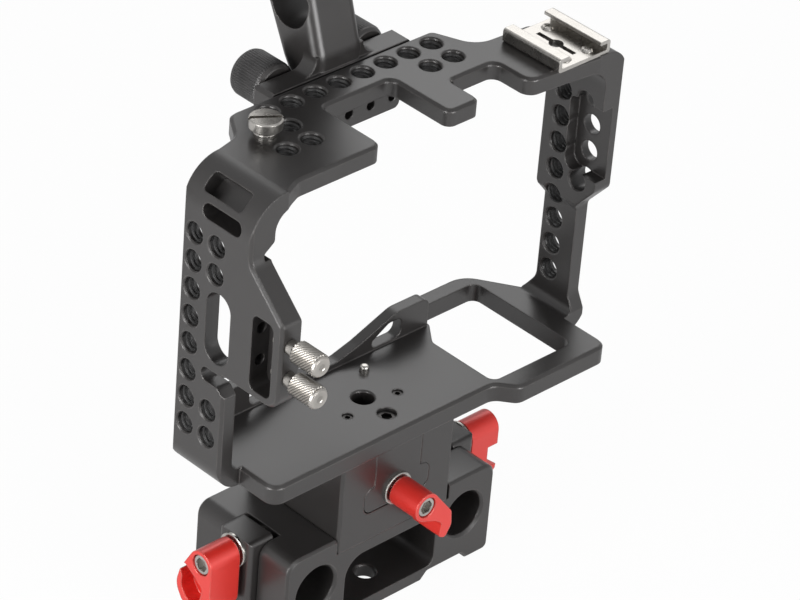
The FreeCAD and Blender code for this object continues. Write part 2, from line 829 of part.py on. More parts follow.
def cage_frame():
    ring = ring_section()
    far = 200.0
    left = ring.common(left_side())
    right = ring.common(right_side())
    top = ring.common(top_plan())
    bottom = ring.common(bottom_plan())
    arm = block(cage_left + 1, cage_left + arm_thickness, arm_rear, -13.0, arm_low, arm_shoulder + 16.0)
    arm = arm.common(left_side())
    side_pads = arm.common(block(-far, far, -far, far, arm_low, 139.0))
    body = left.multiFuse([top, right, bottom, fence(), skirt(), side_pads]).removeSplitter()
    cuts = [battery_opening(), side_pocket()] + left_openings() + left_holes() + right_holes() + top_holes()
    cuts += cable_holes() + floor_holes() + shoe_holes() + stud_holes()
    return body.cut(cuts)


def cold_shoe():
    """Folded sheet shoe: base, two walls and two inward lips, with a spring slot in its base."""
    half, sheet = shoe_width / 2.0, shoe_sheet
    top = 2 * sheet + shoe_inner_height
    gap = shoe_opening / 2.0
    section = [
        (-half, 0, 1.0), (half, 0, 1.0), (half, top, 1.0), (gap, top, 0.3), (gap, top - sheet, 0.3),
        (half - sheet, top - sheet, 0.3), (half - sheet, sheet, 0.3), (-half + sheet, sheet, 0.3),
        (-half + sheet, top - sheet, 0.3), (-gap, top - sheet, 0.3), (-gap, top, 0.3), (-half, top, 1.0),
    ]
    body = slab("xz", [(shoe_x + u, cage_top + v, r) for u, v, r in section], shoe_y - shoe_length / 2.0,
                shoe_y + shoe_length / 2.0)
    low, high = cage_top - 1, cage_top + sheet + 0.5
    cuts = [
        block(shoe_x - 0.8, shoe_x + 0.8, shoe_y - 7.5, shoe_y + 7.5, low, high),
        rod("xy", shoe_x, shoe_y, 2.2, low, high),
    ]
    for sx in (-1, 1):
        for sy in (-1, 1):
            cuts.append(rod("xy", shoe_x + sx * shoe_screw_x, shoe_y + sy * shoe_screw_y,
                            shoe_screw_radius + lever_screw_fit, low, high))
    return body.cut(cuts)


def shoe_screws():
    screws = []
    seat = cage_top + shoe_sheet
    for sx in (-1, 1):
        for sy in (-1, 1):
            x, y = shoe_x + sx * shoe_screw_x, shoe_y + sy * shoe_screw_y
            head = cone("xy", x, y, shoe_screw_head, shoe_screw_head - 0.5, seat, seat + shoe_screw_head_height)
            shank = rod("xy", x, y, shoe_screw_radius, roof_low + 0.5, seat)
            arms = [
                block(x - 1.1, x + 1.1, y - 0.22, y + 0.22, seat + 0.25, seat + 1),
                block(x - 0.22, x + 0.22, y - 1.1, y + 1.1, seat + 0.25, seat + 1),
            ]
            screws.append(head.fuse(shank).removeSplitter().cut(arms))
    return Part.makeCompound(screws)


def accessory_screw():
    """Slotted screw left standing a little proud of the top plate."""
    x, y = accessory_place
    low = cage_top + accessory_lift
    head = rod("xy", x, y, accessory_head_radius, low, low + accessory_head_height)
    head = head.makeChamfer(0.45, flat_edges(head, 2, low) + flat_edges(head, 2, low + accessory_head_height))
    shank = rod("xy", x, y, accessory_shank_radius, roof_low, low)
    half = accessory_slot / 2.0
    slot = block(-7, 7, -half, half, low + accessory_head_height - 1.4, low + accessory_head_height + 1)
    slot.rotate(FreeCAD.Vector(0, 0, 0), FreeCAD.Vector(0, 0, 1), -33)
    slot.translate(FreeCAD.Vector(x, y, 0))
    return head.fuse(shank).removeSplitter().cut(slot)


def cable_screw(z):
    """Knurled clamp screw: long head behind the arm, neck, and a shank into the cable pocket."""
    neck_rear = arm_rear - cable_neck_length
    head_rear = neck_rear - cable_head_length
    head = rod("xz", cable_screw_x, z, cable_head_radius, head_rear, neck_rear)
    head = head.makeChamfer(0.6, flat_edges(head, 1, head_rear) + flat_edges(head, 1, neck_rear))
    neck = rod("xz", cable_screw_x, z, cable_neck_radius, neck_rear, arm_rear)
    shank = rod("xz", cable_screw_x, z, cable_shank_radius, arm_rear, cable_pocket_rear + cable_tip)
    return head.multiFuse([neck, shank]).removeSplitter()


def locating_pin():
    """Small pin pressed into the bottom plate, with a domed end."""
    body = rod("xy", pin_x, pin_y, pin_radius, floor_top - 3.0, floor_top + pin_height)
    return body.makeFillet(0.8, flat_edges(body, 2, floor_top + pin_height))


def top_handle():
    """Foot against the front edge, leaning post with a cross bore, and a grip that runs back over the cage."""
    foot = block(handle_x - foot_half, handle_x + foot_half, foot_rear, foot_front, foot_low, cage_top)
    foot = foot.makeChamfer(1.2, edges_where(foot, lambda e: e.BoundBox.YMin > foot_rear + 0.1
                                             or e.BoundBox.YLength > 1))
    side = [
        (foot_rear + 0.4, cage_top - 4, 0), (26.4, 163.0, 8.0), (32.6, 181.0, 10.0), (31.0, 198.0, 10.0),
        (24.0, grip_low, 12.0), (grip_rear + 6.0, grip_low, 4.0), (grip_rear, grip_low + 6.0, 4.0),
        (grip_rear, grip_high - 5.0, 4.0), (grip_rear + 5.0, grip_high, 4.0), (grip_front - 14.0, grip_high, 14.0),
        (grip_front + 6.0, 206.0, 16.0), (55.5, 184.0, 16.0), (42.0, 157.6, 4.0), (foot_front - 0.4, 144.5, 0),
    ]
    body = slab("yz", side, handle_x - post_half, handle_x + post_half)
    grip_edges = edges_where(body, lambda e: e.BoundBox.XLength < 0.01 and e.BoundBox.ZMin > 183.0)
    body = body.makeFillet(grip_edge_round, grip_edges)
    cuts = [
        rod("yz", bore_y, bore_z, rod_radius + rod_fit, handle_x - post_half - 1, handle_x + post_half + 1),
    ]
    for k in range(4):
        y = grip_rear + 14.0 + k * 2 * hole_pitch
        cuts += tapped("xy", handle_x, y, grip_high - 9.0, grip_high)[0::2]
    body = body.cut(cuts)
    flare = post_flares()
    return foot.multiFuse([body] + flare).removeSplitter().cut(stud_clearance())


grip_edge_round = 3.0


def post_flares():
    """Concave fillets where the post widens into the foot."""
    made = []
    for side in (-1, 1):
        u = handle_x + side * post_half
        corner_block = [
            (u - side * 1.0, cage_top - 2.0, 0), (u + side * post_flare, cage_top - 2.0, 0),
            (u + side * post_flare, cage_top, 0), (u, cage_top + post_flare, 0), (u - side * 1.0, cage_top + post_flare, 0),
        ]
        wedge = slab("xz", corner_block, foot_rear + 1.3, foot_front - 1.3)
        scoop = rod("xz", u + side * post_flare, cage_top + post_flare, post_flare, foot_rear, foot_front + 1)
        made.append(wedge.cut(scoop))
    return made


def stud_clearance():
    cuts = []
    for side in (-1, 1):
        cuts.append(rod("xz", handle_x + side * knob_offset, knob_z, stud_radius + lever_screw_fit, foot_rear - 1,
                        foot_front + 1))
    return cuts


def handle_knob(side):
    """Straight-knurled knob in front of the foot; the knurl is a ring of fine flutes."""
    x = handle_x + side * knob_offset
    body = rod("xz", x, knob_z, knob_radius, foot_front, foot_front + knob_length)
    body = body.makeChamfer(0.9, flat_edges(body, 1, foot_front + knob_length) + flat_edges(body, 1, foot_front))
    hollow = rod("xz", x, knob_z, knob_radius - 2.2, foot_front + knob_length - 1.2, foot_front + knob_length + 1)
    bore = rod("xz", x, knob_z, stud_radius, foot_front - 1, foot_front + knob_length - 2.5)
    return body.cut([hollow, bore])


def handle_stud(side):
    x = handle_x + side * knob_offset
    return rod("xz", x, knob_z, stud_radius, skirt_rear + 0.3, foot_front + knob_length - 2.5)


def write(name, shape):
    shape.exportStep("parts/" + name + ".step")


def main():
    os.makedirs("parts", exist_ok=True)
    write("base_block", base_block())
    write("riser_block", riser_block())
    write("riser_screws", riser_screws())
    write("release_rail", release_rail())
    write("camera_screw", camera_screw())
    write("rail_screw", rail_screw())
    write("plate_set_screws", plate_set_screws())
    for name, side in (("left", -1), ("right", 1)):
        write("jaw_" + name, jaw(side))
        write("handle_knob_" + name, handle_knob(side))
        write("handle_stud_" + name, handle_stud(side))
    side_reach = jaw_thickness + (jaw_inner - notch_wall) + lever_screw_reach - 0.5
    for name, side, mirror, reach in (
        ("left", -1, -1, side_reach), ("right", 1, -1, side_reach), ("centre", 0, 1, lever_screw_reach),
    ):
        shapes = lever_set([lever_body(mirror), lever_washer(), lever_screw(reach)], side)
        write("lever_" + name, shapes[0])
        write("washer_" + name, shapes[1])
        write("lever_screw_" + name, shapes[2])
    write("cage_frame", cage_frame())
    write("cold_shoe", cold_shoe())
    write("shoe_screws", shoe_screws())
    write("accessory_screw", accessory_screw())
    write("cable_screw_upper", cable_screw(cable_screw_z))
    write("cable_screw_lower", cable_screw(cable_screw_z - cable_screw_step))
    write("locating_pin", locating_pin())
    write("top_handle", top_handle())


main()
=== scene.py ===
import json
import math
import bmesh
import bpy
from mathutils import Matrix, Vector

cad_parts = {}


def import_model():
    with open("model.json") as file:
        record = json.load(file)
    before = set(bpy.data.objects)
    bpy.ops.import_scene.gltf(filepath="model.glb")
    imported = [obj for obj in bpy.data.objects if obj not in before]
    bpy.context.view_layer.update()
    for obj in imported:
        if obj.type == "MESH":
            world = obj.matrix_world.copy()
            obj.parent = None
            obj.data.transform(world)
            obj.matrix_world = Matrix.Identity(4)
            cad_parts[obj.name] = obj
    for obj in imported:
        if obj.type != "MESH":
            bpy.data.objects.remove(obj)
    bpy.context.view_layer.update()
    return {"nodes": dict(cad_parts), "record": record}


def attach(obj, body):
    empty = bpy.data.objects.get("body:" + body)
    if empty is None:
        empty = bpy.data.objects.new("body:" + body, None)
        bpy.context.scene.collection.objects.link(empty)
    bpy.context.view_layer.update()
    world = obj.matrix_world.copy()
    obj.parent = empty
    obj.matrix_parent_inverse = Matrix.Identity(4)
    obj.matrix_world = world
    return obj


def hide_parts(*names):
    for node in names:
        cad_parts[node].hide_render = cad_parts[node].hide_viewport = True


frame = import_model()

# Lengths in capitals are in mm, except in the studio; the scene itself is in metres.
MM = 0.001

RIGHT, LEFT = (1, 0, 0), (-1, 0, 0)
FRONT, REAR = (0, 1, 0), (0, -1, 0)
UP = (0, 0, 1)


# Shader nodes

class Signal:
    """An output socket that takes part in arithmetic."""

    def __init__(self, finish, socket):
        self.finish = finish
        self.socket = socket

    def _math(self, operation, *values):
        return self.finish.add("ShaderNodeMath", {"operation": operation}, values)

    def __add__(self, other):
        return self._math("ADD", self, other)

    def __radd__(self, other):
        return self._math("ADD", other, self)

    def __sub__(self, other):
        return self._math("SUBTRACT", self, other)

    def __rsub__(self, other):
        return self._math("SUBTRACT", other, self)

    def __mul__(self, other):
        return self._math("MULTIPLY", self, other)


class Finish:
    """The nodes of a material, or of the world's light."""

    EDGE_GAIN = 7.0

    def __init__(self, name, kept_in=bpy.data.materials):
        self.made = kept_in.new(name)
        self.made.use_nodes = True
        self.tree = self.made.node_tree
        self.tree.nodes.clear()

    def add(self, kind, settings=None, values=(), output=0):
        """A node with its settings and its inputs; gives back one of its outputs, if it has any."""
        node = self.tree.nodes.new(kind)
        for key, value in (settings or {}).items():
            setattr(node, key, value)
        pairs = values.items() if isinstance(values, dict) else enumerate(values)
        for key, value in pairs:
            if isinstance(value, Signal):
                self.tree.links.new(value.socket, node.inputs[key])
            else:
                node.inputs[key].default_value = value
        return Signal(self, node.outputs[output]) if len(node.outputs) else None

    def noise(self, scale, detail):
        """A smooth random field between 0 and 1, fixed to the object."""
        place = self.add("ShaderNodeTexCoord", output="Object")
        inputs = {"Vector": place, "Scale": scale, "Detail": detail}
        return self.add("ShaderNodeTexNoise", {}, inputs, "Fac")

    def blend(self, factor, first, second):
        """A mix of two colours. Inputs 0, 6 and 7 and output 2 are those of the colour mode."""
        values = {0: factor, 6: first, 7: second}
        return self.add("ShaderNodeMix", {"data_type": "RGBA"}, values, 2)

    def clamp(self, value):
        return self.add("ShaderNodeClamp", {}, (value, 0.0, 1.0))

    def rounded(self, radius):
        """The normal that edges would have if they were rounded."""
        return self.add("ShaderNodeBevel", {"samples": 4}, {"Radius": radius})

    def edges(self, radius):
        """0 on flats, rising to 1 along sharp edges."""
        flat = self.add("ShaderNodeNewGeometry", output="Normal")
        both = (self.rounded(radius), flat)
        dot = self.add("ShaderNodeVectorMath", {"operation": "DOT_PRODUCT"}, both, "Value")
        return self.clamp((1.0 - dot) * self.EDGE_GAIN)

    def bump(self, height, strength, distance, radius):
        """Fine relief over edges rounded to a radius."""
        return self.add("ShaderNodeBump", {}, {
            "Strength": strength, "Distance": distance, "Height": height,
            "Normal": self.rounded(radius),
        })

    def shader(self, **values):
        """Closes the material with a principled shader; an underscore stands for a space."""
        inputs = {key.replace("_", " "): value for key, value in values.items()}
        surface = self.add("ShaderNodeBsdfPrincipled", {}, inputs)
        self.add("ShaderNodeOutputMaterial", {}, (surface,))
        return self.made


# Finishes. Each pattern's share says how much it counts in the tint or in the roughness;
# the mean is what the patterns add to the roughness by themselves, and is taken off again.

# Paler edges in patches: partly wear, partly a painted highlight along the edges.
WORN_AND_LIT_EDGE_WIDTH = 0.35
RUB_AND_LIGHT_GAIN, RUB_AND_LIGHT_FLOOR = 2.6, 0.75
ANODISED_TINT = {"cloud": 0.8, "grain": 0.35, "wear_and_highlight": 0.75}
ANODISED_GLOSS = {"cloud": 0.08, "grain": 0.06, "wear_and_highlight": 0.1, "mean": 0.05}
PLATED_GLOSS = {"cloud": 0.12, "grain": 0.05, "mean": 0.06}
# Painted shade in the hollows of a knurl, found from the mesh's pointiness.
FLAT_POINTINESS = 0.5
FLAT_SHADE = 0.55
HOLLOW_SHADE = 0.22


def anodised(name, dark, light, worn_and_lit_edge, roughness):
    """Bead-blasted, dyed and sealed aluminium, paler in patches along the edges: partly rubbed
    wear, partly a painted highlight.
    """
    finish = Finish(name)
    cloud = finish.noise(scale=28.0, detail=4.0)
    grain = finish.noise(scale=5200.0, detail=2.0)
    # The paler edge colour, laid on in patches, is partly wear and partly a painted highlight.
    edge = finish.edges(WORN_AND_LIT_EDGE_WIDTH * MM)
    rubbed_and_lit_patches = finish.clamp(finish.noise(scale=160.0, detail=4.0) * RUB_AND_LIGHT_GAIN - RUB_AND_LIGHT_FLOOR)
    wear_and_highlight = edge * rubbed_and_lit_patches
    share = ANODISED_TINT
    shade = finish.clamp(cloud * share["cloud"] + grain * share["grain"])
    tint = finish.blend(shade, (*dark, 1), (*light, 1))
    colour = finish.blend(wear_and_highlight * share["wear_and_highlight"], tint, (*worn_and_lit_edge, 1))
    share = ANODISED_GLOSS
    gloss = finish.clamp(
        roughness - share["mean"] + cloud * share["cloud"] + grain * share["grain"]
        - wear_and_highlight * share["wear_and_highlight"]
    )
    blast = finish.bump(grain, strength=0.22, distance=0.04 * MM, radius=0.7 * MM)
    return finish.shader(
        Base_Color=colour, Roughness=gloss, Metallic=0.2, Normal=blast, Specular_IOR_Level=0.8,
    )


def plated(name, dark, light, roughness, painted_hollow_shade_gain=0.0):
    """Satin plate with fine marks and faint smudges; the last argument paints shade into the
    hollows of a knurl, found from the mesh's pointiness.
    """
    finish = Finish(name)
    cloud = finish.noise(scale=240.0, detail=4.0)
    grain = finish.noise(scale=7000.0, detail=2.0)
    tint = finish.blend(cloud, (*dark, 1), (*light, 1))
    if painted_hollow_shade_gain:
        # Painted shade: the knurl's hollows darken towards HOLLOW_SHADE of the dark colour.
        pointiness = finish.add("ShaderNodeNewGeometry", output="Pointiness")
        crest = finish.clamp((pointiness - FLAT_POINTINESS) * painted_hollow_shade_gain + FLAT_SHADE)
        hollow_shade_colour = tuple(HOLLOW_SHADE * channel for channel in dark)
        tint = finish.blend(crest, (*hollow_shade_colour, 1), tint)
    share = PLATED_GLOSS
    gloss = finish.clamp(
        roughness + cloud * share["cloud"] + grain * share["grain"] - share["mean"]
    )
    marks = finish.bump(grain, strength=0.12, distance=0.03 * MM, radius=0.15 * MM)
    return finish.shader(Base_Color=tint, Roughness=gloss, Metallic=1.0, Normal=marks)


black = anodised(
    "black_anodised", dark=(0.017, 0.0155, 0.0149), light=(0.031, 0.0285, 0.0275),
    worn_and_lit_edge=(0.2, 0.182, 0.172), roughness=0.31,
)
# A darker copy of the black for the threads in the holes: painted shade inside the holes.
thread_shaded_black = anodised(
    "black_thread_painted_shade", dark=(0.012, 0.012, 0.012), light=(0.026, 0.025, 0.025),
    worn_and_lit_edge=(0.2, 0.195, 0.19), roughness=0.34,
)
# A darker copy of the black for the knobs' flutes: painted shade among the flutes.
knob_shaded_black = anodised(
    "black_knurl_painted_shade", dark=(0.009, 0.0084, 0.0082), light=(0.018, 0.017, 0.0165),
    worn_and_lit_edge=(0.2, 0.19, 0.19), roughness=0.34,
)
red = anodised(
    "red_anodised", dark=(0.56, 0.02, 0.014), light=(0.7, 0.034, 0.024),
    worn_and_lit_edge=(0.85, 0.32, 0.26), roughness=0.3,
)
nickel = plated(
    "satin_nickel", dark=(0.38, 0.365, 0.34), light=(0.56, 0.54, 0.51), roughness=0.25,
)
knurled_nickel = plated(
    "knurled_nickel", dark=(0.42, 0.4, 0.37), light=(0.64, 0.61, 0.57), roughness=0.28, painted_hollow_shade_gain=5.0,
)
dark_steel = plated(
    "black_oxide_screw", dark=(0.045, 0.043, 0.042), light=(0.085, 0.082, 0.08), roughness=0.36,
)

FINISH_OF_SLOT = {
    "black_anodised": black, "red_anodised": red, "nickel": nickel, "black_screw": dark_steel,
}

DARK_SCREWS = ("camera_screw", "rail_screw", "plate_set_screws")


def dress_solids():
    """The CAD meshes take the finish of their slot; the black screws are dark steel."""
    slots = {entry["node"]: entry["material_slot"] for entry in frame["record"]["subparts"]}
    for node, solid in frame["nodes"].items():
        solid.data.materials.clear()
        finish = dark_steel if node in DARK_SCREWS else FINISH_OF_SLOT[slots[node]]
        solid.data.materials.append(finish)


# Meshes and objects

def mesh_of(name, build):
    """A mesh with the faces that build() adds to an empty shape."""
    mesh = bpy.data.meshes.new(name)
    shape = bmesh.new()
    build(shape)
    bmesh.ops.recalc_face_normals(shape, faces=shape.faces)
    shape.to_mesh(mesh)
    shape.free()
    return mesh


def placed(name, data):
    """A new object in the scene."""
    made = bpy.data.objects.new(name, data)
    bpy.context.scene.collection.objects.link(made)
    return made


def piece(name, build, body, finish):
    """A named mesh that build() fills, riding on a body."""
    mesh = mesh_of(name, build)
    mesh.materials.append(finish)
    made = placed(name, mesh)
    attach(made, body)
    return made


def cut_away(made, build):
    """Cuts the shape that build() makes out of a piece and keeps the result as its mesh."""
    cutter = placed("cutter", mesh_of("cutter", build))
    cut = made.modifiers.new("cut", "BOOLEAN")
    cut.operation = "DIFFERENCE"
    cut.solver = "EXACT"
    cut.object = cutter
    seen = made.evaluated_get(bpy.context.evaluated_depsgraph_get())
    result = bpy.data.meshes.new_from_object(seen)
    made.modifiers.clear()
    made.data = result
    spare = cutter.data
    bpy.data.objects.remove(cutter)
    bpy.data.meshes.remove(spare)


def mm(*values):
    """A point given in mm."""
    return Vector(values) * MM


def angles(count):
    """The angles that share out a full turn."""
    return [2 * math.pi * k / count for k in range(count)]


NEARLY_UPRIGHT = 0.9


def axes_of(direction):
    """Two directions across an axis, and the axis."""
    along = Vector(direction).normalized()
    side = Vector(UP) if abs(along.z) < NEARLY_UPRIGHT else Vector(RIGHT)
    across = side.cross(along).normalized()
    return across, along.cross(across), along


def strip(shape, rings, closed=True, capped=True):
    """Joins rings of points into a skin, with a face on its first and its last ring."""
    made = [[shape.verts.new(point) for point in ring] for ring in rings]
    count = len(made[0])
    for first, second in zip(made, made[1:]):
        for i in range(count if closed else count - 1):
            j = (i + 1) % count
            shape.faces.new((first[i], first[j], second[j], second[i]))
    if capped:
        shape.faces.new(made[0])
        shape.faces.new(made[-1])


def ring_round(centre, axes, place, radii):
    """A ring of points at a place along an axis, one for each radius."""
    across, up, along = axes
    ring = []
    for angle, radius in zip(angles(len(radii)), radii):
        out = across * math.cos(angle) + up * math.sin(angle)
        ring.append(centre + along * place + out * radius)
    return ring


# Screw threads, twenty to the inch

THREAD_PITCH = 1.27
RIDGE_HALF_WIDTH = 0.42  # of a pitch
END_GAP = 0.45  # of a pitch, left free at each end
TURN_POINTS = 20
FADE_TURNS = 0.5
LEAST_RIDGE = 0.08  # of the ridge's height, where it has faded


def helix(shape, centre, direction, length, root, crest):
    """A thread's ridge, triangular from the root to the crest radius, that fades at both ends."""
    across, up, along = axes_of(direction)
    pitch = THREAD_PITCH * MM
    steps = int((length / pitch - 2 * END_GAP) * TURN_POINTS)
    half = pitch * RIDGE_HALF_WIDTH
    fade = FADE_TURNS * TURN_POINTS
    rings = []
    for k in range(steps + 1):
        angle = 2 * math.pi * k / TURN_POINTS
        height = pitch * END_GAP + pitch * k / TURN_POINTS
        ease = min(1.0, k / fade, (steps - k) / fade)
        tip = root + (crest - root) * max(LEAST_RIDGE, ease)
        out = across * math.cos(angle) + up * math.sin(angle)
        base = centre + along * height
        rings.append([
            base + out * root - along * half,
            base + out * tip,
            base + out * root + along * half,
        ])
    strip(shape, rings, closed=False)


HOLE_PITCH = 9.1
HOLE_ROOT = 3.19
HOLE_CREST = 2.72

# Holes of the top plate as steps to the right and to the rear of the first one.
TOP_FIRST = (-23.4, 20.0, 153.2)
TOP_HOLES = [(n, 0) for n in range(8)] + [(0, 1), (6, 1), (7, 1), (0, 2), (-1, 2)]
TOP_DEPTH = 4.8

WALL_ROWS = 8
WALL_FIRST_HEIGHT = 138.3

LEFT_FACE = -59.6
LEFT_FRONT_COLUMN = 7.9
LEFT_REAR_COLUMN = -1.2
LEFT_REAR_ROWS = (0, 1, 6, 7)
LEFT_DEPTH = 4.2

RIGHT_FACE = 85.6
RIGHT_COLUMN = 1.5
RIGHT_STEP_HEIGHT = 101.5
RIGHT_WALL_DEPTH = 6.6
RIGHT_LEG_DEPTH = 4.8


def hole_threads():
    """The threads of the cage's quarter inch holes."""
    def thread(shape, place, direction, depth):
        helix(shape, mm(*place), direction, depth * MM, HOLE_ROOT * MM, HOLE_CREST * MM)

    def top(shape):
        x, y, z = TOP_FIRST
        for across, back in TOP_HOLES:
            place = (x + across * HOLE_PITCH, y - back * HOLE_PITCH, z)
            thread(shape, place, UP, TOP_DEPTH)

    def left(shape):
        for row in range(WALL_ROWS):
            height = WALL_FIRST_HEIGHT - row * HOLE_PITCH
            thread(shape, (LEFT_FACE, LEFT_FRONT_COLUMN, height), RIGHT, LEFT_DEPTH)
            if row in LEFT_REAR_ROWS:
                thread(shape, (LEFT_FACE, LEFT_REAR_COLUMN, height), RIGHT, LEFT_DEPTH)

    def right(shape):
        for row in range(WALL_ROWS):
            height = WALL_FIRST_HEIGHT - row * HOLE_PITCH
            depth = RIGHT_WALL_DEPTH if height > RIGHT_STEP_HEIGHT else RIGHT_LEG_DEPTH
            thread(shape, (RIGHT_FACE, RIGHT_COLUMN, height), LEFT, depth)

    piece("top_hole_threads", top, "cage", thread_shaded_black)
    piece("left_hole_threads", left, "cage", thread_shaded_black)
    piece("right_hole_threads", right, "cage", thread_shaded_black)


ACCESSORY_SCREW_START = (-32.5, 10.9, 158.0)
ACCESSORY_SCREW_LENGTH = 3.4
ACCESSORY_SCREW_ROOT = 3.09
ACCESSORY_SCREW_CREST = 3.5


def accessory_screw_thread():
    """The thread that shows between the slotted screw's head and the top plate."""
    def thread(shape):
        helix(
            shape, mm(*ACCESSORY_SCREW_START), UP, ACCESSORY_SCREW_LENGTH * MM,
            ACCESSORY_SCREW_ROOT * MM, ACCESSORY_SCREW_CREST * MM,
        )
    piece("accessory_screw_thread", thread, "accessory_screw", nickel)


# Knurls

CABLE_SCREWS = {"upper": (-56.4, -23.4, 119.0), "lower": (-56.4, -23.4, 108.5)}
CABLE_SCREW_POINTS = 40
CABLE_THREAD_TURNS = 8
CABLE_THREAD_PITCH = 0.7
DIAMOND_START = 9.1
DIAMOND_LENGTH = 8.5
DIAMOND_VALLEY = 3.2
DIAMOND_RISE = 0.38
DIAMOND_ROWS = 17

KNOB_MIDDLE = 10.3
KNOB_SPACING = 17.7
KNOB_REAR = 34.8
KNOB_HEIGHT = 153.8
KNOB_LENGTH = 10.4
KNOB_RADIUS = 7.03
FLUTE_DEPTH = 0.34
FLUTES = 56
# How high a flute stands at its four points, and how that runs out along the knob.
FLUTE_SHAPE = (0.0, 0.75, 1.0, 0.75)
FLUTE_RUN = ((0.0, 0.0), (0.06, 1.0), (0.94, 1.0), (1.0, 0.0))


def turned(shape, centre, direction, outline, around):
    """A turned shape from (distance along, radius, rise of a diamond knurl if there is one)."""
    axes = axes_of(direction)
    rings = []
    for i, (place, radius, *knurl) in enumerate(outline):
        rises = [knurl[0] if knurl and (i + j) % 2 else 0.0 for j in range(around)]
        radii = [(radius + rise) * MM for rise in rises]
        rings.append(ring_round(centre, axes, place * MM, radii))
    strip(shape, rings)


def straight_knurl(shape, centre, direction, length, radius, depth, flutes):
    """An open sleeve of flutes round an axis."""
    axes = axes_of(direction)
    points = len(FLUTE_SHAPE)
    rings = []
    for place, share in FLUTE_RUN:
        radii = [radius + depth * share * FLUTE_SHAPE[j % points] for j in range(flutes * points)]
        rings.append(ring_round(centre, axes, length * place, radii))
    strip(shape, rings, capped=False)


def cable_screw_outline():
    """From the inner tip outwards: threaded shank, neck, shoulder, knurl and hollowed end."""
    shank = [(0.0, 1.3)]
    for k in range(CABLE_THREAD_TURNS):
        along = CABLE_THREAD_PITCH * k
        shank += [(0.4 + along, 1.72), (0.75 + along, 1.45)]
    neck = [(5.8, 1.75), (5.85, 2.3), (8.1, 2.3)]
    shoulder = [(8.5, 2.5), (8.8, 3.0)]
    knurl = []
    for k in range(DIAMOND_ROWS + 1):
        place = DIAMOND_START + DIAMOND_LENGTH * k / DIAMOND_ROWS
        knurl.append((place, DIAMOND_VALLEY, DIAMOND_RISE))
    end = [(17.7, 3.3), (18.25, 3.1), (18.6, 2.7), (18.6, 1.2), (18.45, 0.9)]
    return shank + neck + shoulder + knurl + end


def knurls():
    """The cable screws with their diamond knurl, and the flutes of the handle's knobs."""
    for name, tip in CABLE_SCREWS.items():
        def screw(shape):
            turned(shape, mm(*tip), REAR, cable_screw_outline(), CABLE_SCREW_POINTS)
        node = "cable_screw_" + name
        made = piece(node + "_knurled", screw, node, knurled_nickel)
        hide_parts(node)
    for name, side in (("left", -1), ("right", 1)):
        def flutes(shape):
            centre = mm(KNOB_MIDDLE + side * KNOB_SPACING, KNOB_REAR, KNOB_HEIGHT)
            straight_knurl(
                shape, centre, FRONT, KNOB_LENGTH * MM, KNOB_RADIUS * MM, FLUTE_DEPTH * MM, FLUTES,
            )
        piece("handle_knob_knurl_" + name, flutes, "knob_" + name, knob_shaded_black)


# Thin walls that close the cable clamp's pocket, the strap slot and the window in the bend:
# two corners, the tilt about Y in degrees, and the point that the corners are measured from.

BOX_CORNERS = (
    (0, 0, 0), (0, 1, 0), (0, 1, 1), (0, 0, 1), (1, 0, 0), (1, 1, 0), (1, 1, 1), (1, 0, 1),
)
BOX_FACES = (
    (0, 1, 2, 3), (7, 6, 5, 4), (0, 4, 5, 1), (1, 5, 6, 2), (2, 6, 7, 3), (3, 7, 4, 0),
)
INNER_WALLS = {
    "cable_pocket_floor": ((-53.2, -26.2, 100.2), (-52.3, -17.0, 125.4), 0.0, (0, 0, 0)),
    "strap_slot_floor": ((-52.6, -10.9, 145.1), (-51.8, 5.4, 150.4), 0.0, (0, 0, 0)),
    "strap_window_floor": ((-3.5, -8.2, -6.2), (3.5, 8.2, -5.4), -45.0, (-56.34, -0.75, 154.74)),
}


def block(shape, low, high, tilt, about):
    """A box between two corners, tilted about Y round a point."""
    turn = Matrix.Rotation(math.radians(tilt), 3, "Y")
    corners = []
    for pick in BOX_CORNERS:
        point = Vector([(low, high)[end][axis] for axis, end in enumerate(pick)])
        corners.append(shape.verts.new((Vector(about) + turn @ point) * MM))
    for face in BOX_FACES:
        shape.faces.new([corners[k] for k in face])


def inner_walls():
    for name, box in INNER_WALLS.items():
        def wall(shape):
            block(shape, *box)
        piece(name, wall, "cage", black)


# Levers. Lines across a lever's axis are corners of (sideways, up, radius of the corner);
# lengths along it are from the washer. The hub's arc is in degrees.

HUB_RADIUS = 4.6
HUB_LENGTH = 12.0
HUB_STEPS = 24
ARC_STEPS = 6
LIFT = 0.8
WELL_RADIUS = 3.4
WELL_FLOOR = 8.0
WELL_POINTS = 48
CUT_PAST = 1  # how far the cuts run past the outer end

SIDE_AXIS = (46.4, -0.5, 28.2)
SIDE_HUB_ARC = (180, 30)
SIDE_TAIL = [
    (8.4, -5.4, 1.5), (10.2, -12.0, 6.0), (6.6, -17.5, 4.0), (-HUB_RADIUS, -17.0, 4.0),
]
LEFT_SCOOP = [
    (2.6, -5.2, 0.6), (6.4, -3.0, 0.4), (9.8, -3.4, 0.4), (7.6, -8.2, 1.0),
    (7.9, -11.6, 3.0), (5.0, -15.4, 2.4), (0.2, -14.6, 2.6), (-1.4, -8.0, 2.0),
]
LEFT_SCOOP_DEPTH = 5.0
RIGHT_SCOOP = [
    (-6.0, -5.0, 0), (3.0, -5.0, 0.6), (6.4, -5.0, 0.6),
    (7.9, -11.0, 3.0), (4.0, -13.6, 2.0), (-6.0, -12.4, 0),
]
RIGHT_SCOOP_DEPTH = 4.0

CENTRE_AXIS = (0, -21.0, 41.2)
CENTRE_HUB_ARC = (249, 39)
CENTRE_TAIL = [
    (10.4, -5.6, 2.6), (10.9, -10.6, 3.0), (8.6, -14.6, 1.3),
    (6.0, -13.2, 0.9), (7.0, -8.6, 1.6), (3.9, -6.4, 1.4),
]


